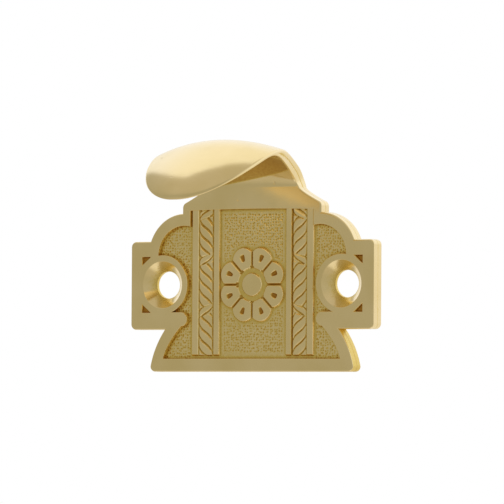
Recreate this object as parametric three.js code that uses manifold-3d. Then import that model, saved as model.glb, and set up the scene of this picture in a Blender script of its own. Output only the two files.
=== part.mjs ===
// Ornamental hook sash lift: one brass casting that screws flat to a sliding window's bottom rail.
// Millimetres. +X to the right, +Z up, the mounting face on y = 0 and the ornament facing -Y.
// The origin is on the mounting face, midway between the two screw holes.

import * as THREE from 'three';
import { LoftGeometry } from 'three/addons/geometries/LoftGeometry.js';
import { mergeVertices } from 'three/addons/utils/BufferGeometryUtils.js';
import Module from 'manifold-3d';

// ---- driving dimensions ----

const PLATE_THICKNESS = 2.8;
const HOLE_SPACING = 37.4; // centre to centre of the two screw holes
const HOLE_RADIUS = 2.4;
const COUNTERSINK_RADIUS = 4.2;
const COUNTERSINK_HALF_ANGLE = THREE.MathUtils.degToRad(41);
const BOSS_RADIUS = 5.25; // plain ring left round each countersink

const EAR_MARGIN = 6.7; // hole centre to the end of the ear
const EAR_TOP = 7.7;
const EAR_BOTTOM = -8.0;
const EAR_CORNER_RADIUS = 1.0;
const EAR_POCKET_DEPTH = 0.5;

const FOOT_BOTTOM = -15.45;
const FOOT_WAIST_INSET = 0.45; // from the hole centre, inwards
const FOOT_TIP_OUTSET = 2.55; // from the hole centre, outwards
const FOOT_CORNER_RADIUS = 0.95;
const FOOT_SWELL = 0.75; // how far out the foot's hollow side bellies, as a share of its flare
const FOOT_SWELL_HEIGHT = 0.4; // and how far down, as a share of its height

const SHOULDER_ARC_RADIUS = 7.6;
const SHOULDER_ARC_HEIGHT = 5.0; // height of the arc's centre
const SHOULDER_INSET = 4.5; // the arc's centre, inwards from the hole centre
const SHOULDER_SIDE_INSET = 4.15; // the upright side above the arc, inwards from the hole centre
const SHOULDER_RISE = 1.0; // upright stretch above the arc
const SHOULDER_CORNER_RADIUS = 1.0;

const NECK_BASE_HEIGHT = 17.0; // the plate is flat up to here, and the hook bends above it
const NECK_BASE_HALF_WIDTH = 9.85;
const NECK_WAIST_HALF_WIDTH = 9.45;
const FLARE_ANGLE = THREE.MathUtils.degToRad(26);
const FLARE_FILLET = 0.25; // how far the curve into the neck starts outside it

const BORDER_WIDTH = 2.3;
const RECESS_DEPTH = 0.7;
const RECESS_TOP = 13.1;
const RECESS_CORNER_INSET = 0.45; // its lower corners, inside the foot's border
const RECESS_SIDE_BOW = 0.5; // how far the hollow sides above them bow in and down
const BAR_MARGIN = 0.3; // plain floor beside the outer bars, above the lobes
const LOBE_MARGIN = 0.15; // the border is this much narrower round the lobes
const FINGER_TOP = -4.9; // the border's round-nosed finger under each boss
const FINGER_BOTTOM = -7.4;
const FINGER_REACH = 5.2; // its nose, inwards from the hole centre

const BAR_WIDTH = 1.25;
const BAR_SHARES = [0.4027, 0.6417]; // the bars' middles, from the plate's middle to the hole centre
const BAR_HEIGHT = 0.5;
const BAR_END_GAP = 0.5;

const LEAF_PITCH = 2.03;
const LEAF_HEIGHT = 0.42;
const LEAF_SLOPE = THREE.MathUtils.degToRad(36);
const LEAF_THICKNESS = 1.15;
const LEAF_CLEARANCE = 0.3; // between a leaf's ends and the bars beside it
const LEAF_START = 0.2; // the first leaf's place above the bars' feet, in pitches

const PETAL_COUNT = 8;
const PETAL_INNER_RADIUS = 2.95;
const PETAL_OUTER_RADIUS = 6.5;
const PETAL_GAP = 0.3;
const PETAL_HEIGHT = 0.5;
const PETAL_SHOULDER = 1.1; // the petal starts to round off this far inside its tip
const PETAL_BROW = 0.25; // and is nearly round this far inside it
const PETAL_BROW_SHARE = 0.66; // at this share of its half angle
const DIMPLE_RING_RADIUS = 5.05;
const DIMPLE_RADIUS = 0.45;
const DIMPLE_DEPTH = 0.3;
const EYE_RADIUS = 2.0;
const EYE_HEIGHT = 0.6;

// The hook's side view is a chain of arcs, each one turning further over towards the front.
const HOOK_ARCS = [
  { radius: 2.7, turn: THREE.MathUtils.degToRad(58) }, // bend out of the neck
  { radius: 21.0, turn: THREE.MathUtils.degToRad(23.5) }, // brow
  { radius: 10.0, turn: THREE.MathUtils.degToRad(37) }, // crest to tab
  { radius: 75.0, turn: THREE.MathUtils.degToRad(10) }, // finger tab
];
const TAB_HALF_WIDTH = 11.8;
const TAB_CROWN = 1.6; // the middle stands this far above the two edges
const TAB_THICKNESS = 2.0;
const TAB_RIM = 0.6;
const TAB_WIDEST = 0.5; // share of the hook's length at its widest place
const TAB_ROUNDNESS = 1.8; // 2 would make the tab's outline an ellipse
const WAIST_DISTANCE = 1.5; // the neck's waist, along the hook from its base
const CROWNED_BY = 0.32; // share of the length where the crown is full
const RIM_THINNING = [0.29, 0.52]; // shares of the length between which the edges thin down
const TIP_SHARE = 0.995; // the last section, just short of the point
const HOOK_ROWS = 30;
const HOOK_COLUMNS = 11; // points across each face of a section

const EAR_POCKET_WALL = 0.3; // between the pocket's long side and the boss
const EAR_POCKET_INSET = 2.85; // the pocket's corner, inside the ear's upper and lower ends

const OVERSHOOT = 1.0; // cutters run past what they cut
const SINK = 0.2; // raised ornament reaches this far into the floor below it

// ---- solids ----

const wasm = await Module();
wasm.setup();

function solidOf(geometry) {
  const bare = new THREE.BufferGeometry();
  bare.setAttribute('position', geometry.getAttribute('position'));
  bare.setIndex(geometry.getIndex());
  const merged = mergeVertices(bare, 1e-4);
  const index = merged.index.array;
  const triangles = [];
  for (let i = 0; i < index.length; i += 3) {
    const [a, b, c] = [index[i], index[i + 1], index[i + 2]];
    if (a !== b && b !== c && c !== a) triangles.push(a, b, c);
  }
  const mesh = new wasm.Mesh({
    numProp: 3,
    vertProperties: new Float32Array(merged.attributes.position.array),
    triVerts: new Uint32Array(triangles),
  });
  return new wasm.Manifold(mesh);
}

function geometryOf(solid) {
  const mesh = solid.getMesh();
  const geometry = new THREE.BufferGeometry();
  geometry.setAttribute('position', new THREE.BufferAttribute(mesh.vertProperties, 3));
  geometry.setIndex(new THREE.BufferAttribute(mesh.triVerts, 1));
  geometry.computeVertexNormals();
  return geometry;
}

// A shape drawn in the front view, (x, z), as a slab between two distances from the mounting face.
function slab(shape, back, front, curveSegments = 8) {
  const geometry = new THREE.ExtrudeGeometry(shape, {
    depth: front - back,
    bevelEnabled: false,
    curveSegments,
  });
  geometry.translate(0, 0, back);
  geometry.rotateX(Math.PI / 2);
  return solidOf(geometry);
}

// A whole outline from its right half, which runs from the centre line round to the centre line.
function symmetricShape(rightHalf, divisions) {
  const right = rightHalf.getPoints(divisions);
  const left = right
    .slice(1, -1)
    .reverse()
    .map((point) => new THREE.Vector2(-point.x, point.y));
  return new THREE.Shape([...right, ...left]);
}

// ---- the plate ----

const holeX = HOLE_SPACING / 2;
const faceY = PLATE_THICKNESS;
const floorY = PLATE_THICKNESS - RECESS_DEPTH;
const arcCentreX = holeX - SHOULDER_INSET;
const barCentres = BAR_SHARES.map((share) => share * holeX);
const barFoot = FOOT_BOTTOM + BORDER_WIDTH + BAR_END_GAP;

function plateOutline() {
  const earEnd = holeX + EAR_MARGIN;
  const footTip = holeX + FOOT_TIP_OUTSET;
  const footWaist = holeX - FOOT_WAIST_INSET;
  const arcStart = Math.asin((EAR_TOP - SHOULDER_ARC_HEIGHT) / SHOULDER_ARC_RADIUS);
  const shoulderSide = holeX - SHOULDER_SIDE_INSET;
  const arcEnd = Math.acos((shoulderSide - arcCentreX) / SHOULDER_ARC_RADIUS);
  const shoulderTop =
    SHOULDER_ARC_HEIGHT + SHOULDER_ARC_RADIUS * Math.sin(arcEnd) + SHOULDER_RISE;
  const cornerX = shoulderSide - SHOULDER_CORNER_RADIUS;
  const flareTurn = Math.PI / 2 - FLARE_ANGLE;
  const flareX = cornerX + SHOULDER_CORNER_RADIUS * Math.cos(flareTurn);
  const flareZ = shoulderTop + SHOULDER_CORNER_RADIUS * Math.sin(flareTurn);
  const flareControlX = NECK_BASE_HALF_WIDTH + FLARE_FILLET;
  const flareControlZ = Math.min(
    flareZ + (flareX - flareControlX) * Math.tan(FLARE_ANGLE), NECK_BASE_HEIGHT,
  );

  const half = new THREE.Path();
  half.moveTo(0, FOOT_BOTTOM);
  half.lineTo(footTip - FOOT_CORNER_RADIUS, FOOT_BOTTOM);
  half.absarc(
    footTip - FOOT_CORNER_RADIUS, FOOT_BOTTOM + FOOT_CORNER_RADIUS, FOOT_CORNER_RADIUS,
    -Math.PI / 2, 0, false,
  );
  half.quadraticCurveTo(
    footWaist + FOOT_SWELL * (footTip - footWaist),
    EAR_BOTTOM - FOOT_SWELL_HEIGHT * (EAR_BOTTOM - FOOT_BOTTOM),
    footWaist,
    EAR_BOTTOM,
  );
  half.absarc(
    earEnd - EAR_CORNER_RADIUS, EAR_BOTTOM + EAR_CORNER_RADIUS, EAR_CORNER_RADIUS,
    -Math.PI / 2, 0, false,
  );
  half.absarc(
    earEnd - EAR_CORNER_RADIUS, EAR_TOP - EAR_CORNER_RADIUS, EAR_CORNER_RADIUS,
    0, Math.PI / 2, false,
  );
  half.absarc(arcCentreX, SHOULDER_ARC_HEIGHT, SHOULDER_ARC_RADIUS, arcStart, arcEnd, false);
  half.absarc(cornerX, shoulderTop, SHOULDER_CORNER_RADIUS, 0, flareTurn, false);
  half.quadraticCurveTo(flareControlX, flareControlZ, NECK_BASE_HALF_WIDTH, NECK_BASE_HEIGHT);
  half.lineTo(0, NECK_BASE_HEIGHT);
  return symmetricShape(half, 10);
}

// Where the boss's circle crosses the lobe's: the angle on the boss and the angle on the lobe.
function bossMeetsLobe(lobeRadius) {
  const towardsBoss = Math.atan2(-SHOULDER_ARC_HEIGHT, SHOULDER_INSET);
  const apart = Math.hypot(SHOULDER_INSET, SHOULDER_ARC_HEIGHT);
  const along = (apart ** 2 + lobeRadius ** 2 - BOSS_RADIUS ** 2) / (2 * apart);
  const lobeAngle = towardsBoss + Math.acos(along / lobeRadius);
  const x = arcCentreX + lobeRadius * Math.cos(lobeAngle) - holeX;
  const z = SHOULDER_ARC_HEIGHT + lobeRadius * Math.sin(lobeAngle);
  return [Math.atan2(z, x), lobeAngle];
}

function recessOutline() {
  const bottom = FOOT_BOTTOM + BORDER_WIDTH;
  const corner = holeX + FOOT_TIP_OUTSET - BORDER_WIDTH - RECESS_CORNER_INSET;
  const nose = holeX - FINGER_REACH;
  const noseRadius = (FINGER_TOP - FINGER_BOTTOM) / 2;
  const barEdge = barCentres[1] + BAR_WIDTH / 2 + BAR_MARGIN;
  const lobeRadius = SHOULDER_ARC_RADIUS - BORDER_WIDTH + LOBE_MARGIN;
  const lobeEnd = Math.acos((barEdge - arcCentreX) / lobeRadius);
  const bossLow = Math.asin(FINGER_TOP / BOSS_RADIUS);
  const [bossEnd, lobeStart] = bossMeetsLobe(lobeRadius);

  const half = new THREE.Path();
  half.moveTo(0, bottom);
  half.lineTo(corner, bottom);
  half.quadraticCurveTo(
    corner - RECESS_SIDE_BOW,
    (bottom + FINGER_BOTTOM) / 2 - RECESS_SIDE_BOW,
    nose + noseRadius,
    FINGER_BOTTOM,
  );
  half.absarc(
    nose + noseRadius, FINGER_BOTTOM + noseRadius, noseRadius, -Math.PI / 2, Math.PI / 2, true,
  );
  half.absarc(holeX, 0, BOSS_RADIUS, Math.PI - bossLow, bossEnd, true);
  half.absarc(arcCentreX, SHOULDER_ARC_HEIGHT, lobeRadius, lobeStart, lobeEnd, false);
  half.lineTo(barEdge, RECESS_TOP);
  half.lineTo(0, RECESS_TOP);
  return symmetricShape(half, 8);
}

// The screw hole and its countersink, as one turned cutter standing on the mounting face.
function screwCutter(side) {
  const coneDepth = (COUNTERSINK_RADIUS - HOLE_RADIUS) / Math.tan(COUNTERSINK_HALF_ANGLE);
  const profile = [
    [0, -OVERSHOOT],
    [HOLE_RADIUS, -OVERSHOOT],
    [HOLE_RADIUS, faceY - coneDepth],
    [COUNTERSINK_RADIUS, faceY],
    [COUNTERSINK_RADIUS, faceY + OVERSHOOT],
    [0, faceY + OVERSHOOT],
  ].map(([radius, distance]) => new THREE.Vector2(radius, distance));
  const geometry = new THREE.LatheGeometry(profile, 36);
  geometry.rotateX(Math.PI);
  geometry.translate(side * holeX, 0, 0);
  return solidOf(geometry);
}

// The three-cornered pockets in an ear's outer corners, whose long side follows the boss.
function earPocket(side, upper) {
  const reach = BOSS_RADIUS + EAR_POCKET_WALL;
  const x = holeX + EAR_MARGIN - BORDER_WIDTH;
  const z = (EAR_TOP - EAR_BOTTOM) / 2 - EAR_POCKET_INSET;
  const legX = x - (holeX + Math.sqrt(reach ** 2 - z ** 2));
  const legZ = z - Math.sqrt(reach ** 2 - (x - holeX) ** 2);
  const points = [[x, z], [x - legX, z], [x, z - legZ]].map(
    ([px, pz]) => new THREE.Vector2(side * px, upper * pz),
  );
  return slab(new THREE.Shape(points), faceY - EAR_POCKET_DEPTH, faceY + OVERSHOOT);
}

// ---- the raised ornament ----

function rectangle(x0, x1, z0, z1) {
  return new THREE.Shape([
    new THREE.Vector2(x0, z0),
    new THREE.Vector2(x1, z0),
    new THREE.Vector2(x1, z1),
    new THREE.Vector2(x0, z1),
  ]);
}

function bars() {
  const made = [];
  for (const centre of [...barCentres, ...barCentres.map((x) => -x)]) {
    const shape = rectangle(
      centre - BAR_WIDTH / 2, centre + BAR_WIDTH / 2, barFoot, RECESS_TOP + OVERSHOOT,
    );
    made.push(slab(shape, floorY - SINK, floorY + BAR_HEIGHT));
  }
  return made;
}

// Slanted leaves between each pair of bars, rising outwards from the middle of the plate.
function leaves() {
  const inner = barCentres[0] + BAR_WIDTH / 2 + LEAF_CLEARANCE;
  const outer = barCentres[1] - BAR_WIDTH / 2 - LEAF_CLEARANCE;
  const rise = (outer - inner) * Math.tan(LEAF_SLOPE);
  const count = Math.floor((RECESS_TOP - barFoot - rise) / LEAF_PITCH);
  const made = [];
  for (const side of [-1, 1]) {
    for (let i = 0; i < count; i++) {
      const z = barFoot + (i + LEAF_START) * LEAF_PITCH;
      const corners = [
        [inner, z],
        [outer, z + rise],
        [outer, z + rise + LEAF_THICKNESS],
        [inner, z + LEAF_THICKNESS],
      ].map(([x, height]) => new THREE.Vector2(side * x, height));
      made.push(slab(new THREE.Shape(corners), floorY - SINK, floorY + LEAF_HEIGHT));
    }
  }
  return made;
}

function petalShape(middle) {
  const halfAngle = Math.PI / PETAL_COUNT;
  const innerHalf = halfAngle - PETAL_GAP / 2 / PETAL_INNER_RADIUS;
  const outerHalf = halfAngle - PETAL_GAP / 2 / PETAL_OUTER_RADIUS;
  const at = (radius, angle) =>
    new THREE.Vector2(radius * Math.cos(middle + angle), radius * Math.sin(middle + angle));
  return new THREE.Shape([
    at(PETAL_INNER_RADIUS, -innerHalf),
    at(PETAL_OUTER_RADIUS - PETAL_SHOULDER, -outerHalf),
    at(PETAL_OUTER_RADIUS - PETAL_BROW, -outerHalf * PETAL_BROW_SHARE),
    at(PETAL_OUTER_RADIUS, 0),
    at(PETAL_OUTER_RADIUS - PETAL_BROW, outerHalf * PETAL_BROW_SHARE),
    at(PETAL_OUTER_RADIUS - PETAL_SHOULDER, outerHalf),
    at(PETAL_INNER_RADIUS, innerHalf),
  ]);
}

function disc(x, z, radius, back, front, segments) {
  const geometry = new THREE.CylinderGeometry(radius, radius, front - back, segments);
  geometry.translate(x, -(back + front) / 2, z);
  return solidOf(geometry);
}

function rosette() {
  const top = floorY + PETAL_HEIGHT;
  const made = [disc(0, 0, EYE_RADIUS, floorY - SINK, floorY + EYE_HEIGHT, 24)];
  for (let i = 0; i < PETAL_COUNT; i++) {
    const middle = ((i + 0.5) * 2 * Math.PI) / PETAL_COUNT;
    const dimple = disc(
      DIMPLE_RING_RADIUS * Math.cos(middle), DIMPLE_RING_RADIUS * Math.sin(middle),
      DIMPLE_RADIUS, top - DIMPLE_DEPTH, top + OVERSHOOT, 8,
    );
    made.push(slab(petalShape(middle), floorY - SINK, top).subtract(dimple));
  }
  return made;
}

// ---- the hook ----

const smooth = THREE.MathUtils.smoothstep;
const between = THREE.MathUtils.lerp;

const hookLength = HOOK_ARCS.reduce((sum, arc) => sum + arc.radius * arc.turn, 0);

// The place and heading, in the side view, at a distance along the hook from the neck's base.
function hookPlace(distance) {
  let forward = PLATE_THICKNESS / 2;
  let height = NECK_BASE_HEIGHT;
  let heading = Math.PI / 2;
  let left = distance;
  for (const { radius, turn } of HOOK_ARCS) {
    const used = Math.min(left, radius * turn);
    const next = heading - used / radius;
    forward += radius * (Math.sin(heading) - Math.sin(next));
    height += radius * (Math.cos(next) - Math.cos(heading));
    heading = next;
    left -= used;
  }
  return { forward, height, heading };
}

function hookHalfWidth(distance) {
  const widest = TAB_WIDEST * hookLength;
  if (distance < WAIST_DISTANCE) {
    return between(NECK_BASE_HALF_WIDTH, NECK_WAIST_HALF_WIDTH, smooth(distance, 0, WAIST_DISTANCE));
  }
  if (distance < widest) {
    return between(
      NECK_WAIST_HALF_WIDTH, TAB_HALF_WIDTH, smooth(distance, WAIST_DISTANCE, widest),
    );
  }
  const share = (distance - widest) / (hookLength - widest);
  return TAB_HALF_WIDTH * Math.sqrt(1 - share ** TAB_ROUNDNESS);
}

function hookSection(distance) {
  const { forward, height, heading } = hookPlace(distance);
  const halfWidth = hookHalfWidth(distance);
  const share = distance / hookLength;
  const tipward = share > TAB_WIDEST ? halfWidth / TAB_HALF_WIDTH : 1; // falls to 0 at the tip
  const crown = TAB_CROWN * smooth(share, 0, CROWNED_BY) * tipward;
  const fullThickness = between(PLATE_THICKNESS, TAB_THICKNESS, smooth(share, 0, TAB_WIDEST));
  const rim = between(fullThickness, TAB_RIM, smooth(share, ...RIM_THINNING));
  const belly = between(rim, fullThickness, tipward);

  const place = (across, lift) =>
    new THREE.Vector3(
      across * halfWidth,
      -(forward - lift * Math.sin(heading)),
      height + lift * Math.cos(heading),
    );
  const upper = [];
  const lower = [];
  for (let i = 0; i < HOOK_COLUMNS; i++) {
    const across = Math.sin(Math.PI * (i / (HOOK_COLUMNS - 1) - 0.5));
    const rise = crown * (1 - across * across);
    const thickness = between(rim, belly, 1 - across * across);
    upper.push(place(across, rise + thickness / 2));
    lower.push(place(across, rise - thickness / 2));
  }
  return [...lower, ...upper.reverse()];
}

// A section drawn together to its middle, which closes an end of the loft as a fan.
function closing(section) {
  const middle = section.reduce((sum, point) => sum.add(point), new THREE.Vector3());
  middle.divideScalar(section.length);
  return section.map(() => middle);
}

function hook() {
  const root = hookSection(0).map((point) => point.clone().setZ(point.z - OVERSHOOT));
  const sections = [closing(root), root];
  for (let i = 0; i <= HOOK_ROWS; i++) {
    const share = Math.sin((Math.PI / 2) * (i / HOOK_ROWS)); // closer together at the tip
    sections.push(hookSection(hookLength * TIP_SHARE * share));
  }
  sections.push(closing(sections.at(-1)));
  return solidOf(new LoftGeometry(sections));
}

// ---- the casting ----

const sides = [-1, 1];
const cutters = sides.flatMap((side) => [
  screwCutter(side),
  earPocket(side, 1),
  earPocket(side, -1),
]);

let casting = slab(plateOutline(), 0, faceY).add(hook());
casting = casting.subtract(slab(recessOutline(), floorY, faceY + OVERSHOOT));
for (const piece of [...bars(), ...leaves(), ...rosette()]) {
  casting = casting.add(piece);
}
for (const cutter of cutters) {
  casting = casting.subtract(cutter);
}

const brass = new THREE.MeshStandardMaterial({ color: 0xc9a961, roughness: 0.3, metalness: 1.0 });
const liftCasting = new THREE.Mesh(geometryOf(casting), brass);
liftCasting.name = 'lift_casting';

const sashLift = new THREE.Group();
sashLift.add(liftCasting);

export default sashLift;
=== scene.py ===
"""Looks of an ornamental hook sash lift in cast brass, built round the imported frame.

Sizes are in millimetres, in the part's own frame: +X to the right, +Z up, the mounting face on y = 0 and
the ornament facing -Y.  A depth is a distance in front of the mounting face.  Meshes are made in metres.
"""

import logging
import math
from dataclasses import dataclass, field
from enum import Enum

import bpy
import numpy as np
from mathutils import Matrix, Vector
from mathutils.geometry import delaunay_2d_cdt

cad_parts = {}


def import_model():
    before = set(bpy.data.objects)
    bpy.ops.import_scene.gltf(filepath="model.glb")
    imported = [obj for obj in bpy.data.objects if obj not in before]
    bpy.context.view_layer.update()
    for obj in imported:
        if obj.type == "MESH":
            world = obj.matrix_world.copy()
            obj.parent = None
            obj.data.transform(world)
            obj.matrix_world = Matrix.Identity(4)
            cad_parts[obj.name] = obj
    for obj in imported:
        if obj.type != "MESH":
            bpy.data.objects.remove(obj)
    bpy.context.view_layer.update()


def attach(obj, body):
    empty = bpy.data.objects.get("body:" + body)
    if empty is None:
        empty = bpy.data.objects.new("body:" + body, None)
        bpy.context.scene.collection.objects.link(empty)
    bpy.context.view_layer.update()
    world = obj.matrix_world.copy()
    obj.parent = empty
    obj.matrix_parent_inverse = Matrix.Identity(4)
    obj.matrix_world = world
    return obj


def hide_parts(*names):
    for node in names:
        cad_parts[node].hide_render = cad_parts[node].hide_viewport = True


LOG = logging.getLogger("sash_lift")

MM = 0.001
BODY = "root"
CASTING = "lift_casting"
# the mesh attribute that sets cast skin and painted shade
SKIN_AND_SHADE = "skin_and_shade"
SAME_POINT = 1e-6  # points of an outline closer than this are one
WELD = 1e-4  # and points of a mesh
NO_LENGTH = 1e-12  # the least length that a vector is divided by
SHRUNK = 1e-7  # a normal shorter than this has no direction
CUT_MARGIN = 1e-7  # closeness at which a flat region's corners are one
BATCH = 4096  # points looked at together, which bounds the memory used

Array = np.ndarray
Point = tuple[float, float]
Span = tuple[float, float]
Colour = tuple[float, float, float, float]
Socket = bpy.types.NodeSocket


# ---------------------------------------------------------------- small maths


def smooth_step(value: Array, low: float, high: float) -> Array:
    """A ramp from 0 at low to 1 at high with level ends.

    Args:
        value: Where to read the ramp.
        low: Where it leaves 0.
        high: Where it reaches 1.

    Returns:
        3t^2 - 2t^3 of the clamped share t.
    """
    share = np.clip((np.asarray(value, float) - low) / (high - low), 0.0, 1.0)
    return share * share * (3.0 - 2.0 * share)


def round_shoulder(inside: Array, reach: float) -> Array:
    """A raised edge's section: a quarter circle from the floor up to a flat top.

    Args:
        inside: Distance in from the edge, negative outside it.
        reach: Width of the rounding.

    Returns:
        sqrt(1 - (1 - q)^2) of the clamped share q, so 0 outside and 1 on the top.
    """
    share = np.clip(inside / reach, 0.0, 1.0)
    return np.sqrt(1.0 - (1.0 - share) ** 2)


def through(stations: tuple[Point, ...], at: Array) -> Array:
    """A smooth curve through a few stations that never swings past them.

    Cubic Hermite pieces, whose slope at a station is the harmonic mean of the slopes beside it, or level
    where those have opposite signs.

    Args:
        stations: Pairs of place and value, in order of place.
        at: Places to read.

    Returns:
        The values there.
    """
    place, value = np.array(stations, float).T
    width = np.diff(place)
    rise = np.diff(value) / width
    slope = np.concatenate([rise[:1], np.zeros(len(place) - 2), rise[-1:]])
    same = rise[:-1] * rise[1:] > 0
    total = np.where(same, rise[:-1] + rise[1:], 1.0)
    slope[1:-1] = np.where(same, 2.0 * rise[:-1] * rise[1:] / total, 0.0)
    at = np.clip(at, place[0], place[-1])
    piece = np.clip(np.searchsorted(place, at, side="right") - 1, 0, len(width) - 1)
    t = (at - place[piece]) / width[piece]
    return (
        (1 + 2 * t) * (1 - t) ** 2 * value[piece]
        + t * (1 - t) ** 2 * width[piece] * slope[piece]
        + t * t * (3 - 2 * t) * value[piece + 1]
        + t * t * (t - 1) * width[piece] * slope[piece + 1]
    )


def unit(vectors: Array) -> Array:
    """The vectors along the last axis, each divided by its length."""
    return vectors / np.maximum(np.linalg.norm(vectors, axis=-1, keepdims=True), NO_LENGTH)


def in_frame(flat: Array, depth: Array | float) -> Array:
    """Points of the front view (x, z) at a depth, as points (x, -depth, z) of the frame."""
    depth = np.broadcast_to(depth, flat.shape[:-1])
    return np.stack([flat[..., 0], -depth, flat[..., 1]], axis=-1)


# ---------------------------------------------------------------- lines in the front view


def straight(start: Point, end: Point) -> Array:
    """The two ends of a straight line."""
    return np.array([start, end], float)


def arc(centre: Point, radius: float, start: float, end: float, spacing: float = 0.16) -> Array:
    """Points round a circle.

    Args:
        centre: The circle's middle.
        radius: Its radius.
        start: First angle in degrees, anticlockwise from +X.
        end: Last angle in degrees.
        spacing: Widest step along the arc.

    Returns:
        centre + radius * (cos, sin) at even angles, as rows.
    """
    steps = max(6, math.ceil(abs(math.radians(end - start)) * radius / spacing))
    angle = np.radians(np.linspace(start, end, steps + 1))
    return np.array(centre) + radius * np.stack([np.cos(angle), np.sin(angle)], axis=1)


def bow(start: Point, pull: Point, end: Point, steps: int = 24) -> Array:
    """A curve from start to end that leaves and arrives along the lines to pull.

    Args:
        start: First point.
        pull: The point that the curve leans towards.
        end: Last point.
        steps: Number of steps.

    Returns:
        (1-t)^2 start + 2t(1-t) pull + t^2 end at even t, as rows.
    """
    t = np.linspace(0.0, 1.0, steps + 1)[:, None]
    return (1 - t) ** 2 * np.array(start) + 2 * t * (1 - t) * np.array(pull) + t * t * np.array(end)


def run(*parts: Array) -> Array:
    """Lines end to end as one smooth stretch, without repeated points.

    Args:
        parts: Rows of (x, z), in order.

    Returns:
        The stretch.
    """
    points = np.vstack(parts)
    apart = np.linalg.norm(np.diff(points, axis=0), axis=1) > SAME_POINT
    return points[np.concatenate([[True], apart])]


def mirrored(*stretches: Array) -> list[Array]:
    """The stretches on the other side of x = 0, run the other way so that they still turn anticlockwise."""
    return [stretch[::-1] * (-1.0, 1.0) for stretch in reversed(stretches)]


def outward(stretch: Array) -> Array:
    """Unit normals to the right of a path, each across the mean of the directions beside its point.

    Args:
        stretch: Rows of (x, z).

    Returns:
        One normal for each point.
    """
    step = unit(np.diff(stretch, axis=0))
    along = unit(np.vstack([step[:1], step]) + np.vstack([step, step[-1:]]))
    return np.stack([along[:, 1], -along[:, 0]], axis=1)


@dataclass
class Outline:
    """Smooth stretches that meet at crisp corners, run anticlockwise as seen from the front.

    Attributes:
        stretches: Rows of (x, z), each starting where the last one ends.
        closed: Whether the last one ends where the first starts.
    """

    stretches: list[Array]
    closed: bool = True

    def normals(self) -> list[Array]:
        """The outward normals of each stretch."""
        return [outward(stretch) for stretch in self.stretches]

    def mitres(self) -> list[Array]:
        """How far each point moves for one millimetre outwards.

        At a corner both stretches move along (a + b) / (1 + a.b) of their normals a and b, so that they
        still meet.  The ends of an open outline move level.

        Returns:
            One array per stretch.
        """
        moves = self.normals()
        for i, j in zip(range(len(moves)), [*range(1, len(moves)), 0]):
            if j == 0 and not self.closed:
                break
            before, after = moves[i][-1].copy(), moves[j][0].copy()
            moves[i][-1] = moves[j][0] = (before + after) / (1.0 + before @ after)
        if not self.closed:
            for end in (moves[0][0], moves[-1][-1]):
                end[:] = (math.copysign(1.0, end[0]), 0.0)
        return moves

    def moved(self, distance: float) -> Array:
        """The outline moved outwards by a distance, as one loop with no repeated points.

        Args:
            distance: How far.

        Returns:
            Rows of (x, z).
        """
        loops = [s + distance * m for s, m in zip(self.stretches, self.mitres())]
        kept = [loop[:-1] for loop in loops]
        return np.vstack(kept if self.closed else [*kept, loops[-1][-1:]])


def within(points: Array, loop: Array) -> Array:
    """Which points lie inside a loop.

    Args:
        points: Rows of (x, z).
        loop: The loop's corners.

    Returns:
        True where a line to the right crosses the loop an odd number of times.
    """
    inside = np.zeros(len(points), bool)
    (x0, z0), (x1, z1) = loop.T, np.roll(loop, -1, axis=0).T
    height = np.where(z1 == z0, 1.0, z1 - z0)
    for low in range(0, len(points), BATCH):
        x, z = points[low : low + BATCH, :, None].transpose(1, 0, 2)
        spans = (z0 > z) != (z1 > z)
        inside[low : low + BATCH] = (spans & (x < x0 + (z - z0) / height * (x1 - x0))).sum(axis=1) % 2
    return inside


# ---------------------------------------------------------------- surfaces


@dataclass(frozen=True)
class EdgeProfile:
    """The section of an edge, from the front face inwards.

    Attributes:
        out: Distance outwards from the outline.
        depth: Distance in front of the mounting face.
    """

    out: Array
    depth: Array

    def normals(self) -> Array:
        """Normals of the section.

        Returns:
            Rows of (outwards, forwards), square to the section and facing forwards at its first point.
        """
        along = unit(np.gradient(np.stack([self.out, self.depth], axis=1), axis=0))
        normal = np.stack([-along[:, 1], along[:, 0]], axis=1)
        return normal if normal[0, 1] > 0 else -normal


def softened(corners: list[Point], radius: float, steps: int = 6) -> EdgeProfile:
    """A section through corners, each inner one rounded off.

    Args:
        corners: Pairs of distance outwards and depth, from the front face inwards.
        radius: How far from a corner its rounding starts and ends.
        steps: Steps in each rounding.

    Returns:
        The section.
    """
    places = np.array(corners, float)
    parts = [places[:1]]
    for before, corner, after in zip(places[:-2], places[1:-1], places[2:]):
        start = corner + radius * unit(before - corner)
        end = corner + radius * unit(after - corner)
        parts.append(bow(tuple(start), tuple(corner), tuple(end), steps))
    parts.append(places[-1:])
    out, depth = run(*parts).T
    return EdgeProfile(out, depth)


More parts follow.
